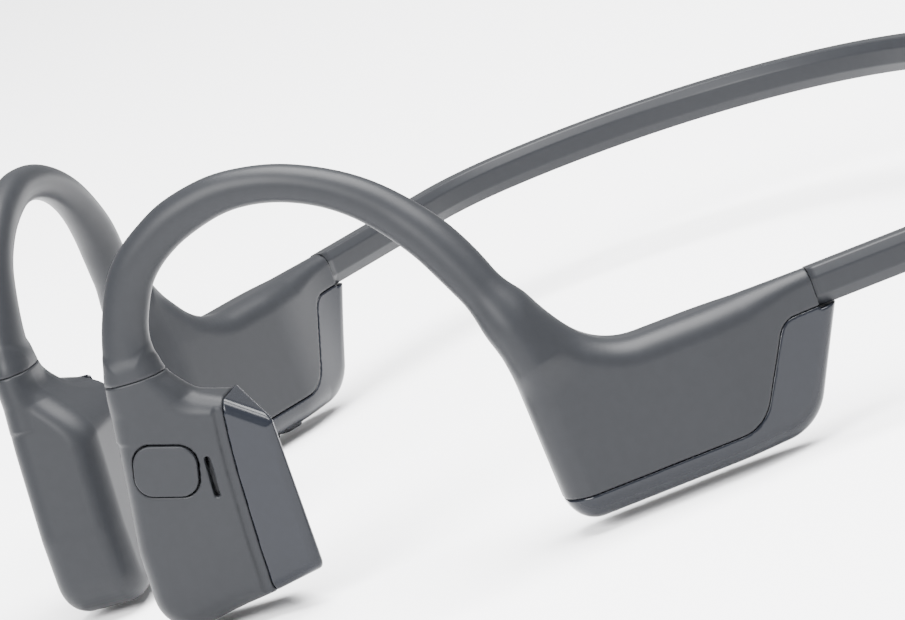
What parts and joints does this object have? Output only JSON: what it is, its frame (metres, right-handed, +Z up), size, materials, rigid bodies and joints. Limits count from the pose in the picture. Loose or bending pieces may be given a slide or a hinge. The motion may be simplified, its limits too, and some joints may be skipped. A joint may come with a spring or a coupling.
{
  "type": "bone conduction headphones",
  "caption": "Open-ear wraparound headphones: a flexible neckband, over-ear hooks, pods behind the ears and flat earpieces that rest on the cheekbones.",
  "frame": {"origin": "centre of the bounding box underside: the plane the volume keys and pods rest on", "axes": "+X to the wearer's left, -Y the way the wearer faces, +Y along the depth to the back of the neckband, +Z up when worn"},
  "size_m": [0.1422, 0.149, 0.0502],
  "materials": {
    "soft_shell": "soft-touch slate grey, fine satin",
    "soft_skin": "soft-touch slate grey silicone, satin",
    "gloss_shell": "dark slate, glossy",
    "mesh": "black woven mesh",
    "spring_wire": "bare drawn alloy wire",
    "enamelled_lead": "enamelled copper",
    "steel_yoke": "plated steel",
    "magnet": "nickel plated",
    "black_case": "black moulded case",
    "button_cap": "soft-touch slate grey",
    "key_cap": "soft-touch slate grey",
    "circuit_board": "solder resist",
    "cell_pouch": "foil",
    "foam": "thin closed-cell foam",
    "port_steel": "drawn steel",
    "light_pipe": "translucent diffuser"
  },
  "bodies": {
    "neckband": {"band_leads_rear": "enamelled_lead", "band_memory_wire_rear": "spring_wire", "band_sleeve_rear": "soft_skin"},
    "left_arm": {"air_driver_left": "black_case", "band_leads_left": "enamelled_lead", "band_memory_wire_left": "spring_wire", "band_sleeve_left": "soft_skin", "bone_coil_left": "enamelled_lead", "bone_magnet_left": "magnet", "bone_plate_left": "steel_yoke", "bone_yoke_left": "steel_yoke", "earpiece_face_shell_left": "soft_skin", "earpiece_outer_shell_left": "soft_shell", "earpiece_vent_left": "mesh", "hook_leads_left": "enamelled_lead", "hook_sleeve_left": "soft_skin", "hook_wire_left": "spring_wire", "microphone_left": "black_case", "pod_boot_left": "gloss_shell", "pod_shell_left": "soft_shell", "speaker_cover_left": "gloss_shell", "speaker_grille_left": "mesh", "battery_cell": "cell_pouch", "battery_board": "circuit_board", "battery_foam": "foam", "multifunction_switch": "black_case"},
    "right_arm": {"air_driver_right": "black_case", "band_leads_right": "enamelled_lead", "band_memory_wire_right": "spring_wire", "band_sleeve_right": "soft_skin", "bone_coil_right": "enamelled_lead", "bone_magnet_right": "magnet", "bone_plate_right": "steel_yoke", "bone_yoke_right": "steel_yoke", "earpiece_face_shell_right": "soft_skin", "earpiece_outer_shell_right": "soft_shell", "earpiece_vent_right": "mesh", "hook_leads_right": "enamelled_lead", "hook_sleeve_right": "soft_skin", "hook_wire_right": "spring_wire", "microphone_right": "black_case", "pod_boot_right": "gloss_shell", "pod_shell_right": "soft_shell", "speaker_cover_right": "gloss_shell", "speaker_grille_right": "mesh", "charging_port": "port_steel", "indicator_light": "light_pipe", "main_board": "circuit_board", "board_shield": "cell_pouch", "volume_switches": "black_case"},
    "multifunction_button": {"multifunction_button": "button_cap"},
    "volume_up_button": {"volume_up_button": "key_cap"},
    "volume_down_button": {"volume_down_button": "key_cap"}
  },
  "joints": [
    {"name": "left_arm_flex", "type": "hinge", "parent": "neckband", "child": "left_arm", "pos_m": [0.05492, 0.05617, 0.016], "axis": [0, 0, 1], "range_deg": [-2, 25], "stiffness_Nm_per_rad": 0.29},
    {"name": "right_arm_flex", "type": "hinge", "parent": "neckband", "child": "right_arm", "pos_m": [-0.05492, 0.05617, 0.016], "axis": [0, 0, -1], "range_deg": [-2, 25], "stiffness_Nm_per_rad": 0.29},
    {"name": "multifunction_press", "type": "slide", "parent": "left_arm", "child": "multifunction_button", "axis": [-0.7193, 0.6947, 0], "range_m": [0, 0.00035], "stiffness_N_per_m": 1200},
    {"name": "volume_up_press", "type": "slide", "parent": "right_arm", "child": "volume_up_button", "axis": [0, 0, 1], "range_m": [0, 0.00035], "stiffness_N_per_m": 1200},
    {"name": "volume_down_press", "type": "slide", "parent": "right_arm", "child": "volume_down_button", "axis": [0, 0, 1], "range_m": [0, 0.00035], "stiffness_N_per_m": 1200}
  ]
}
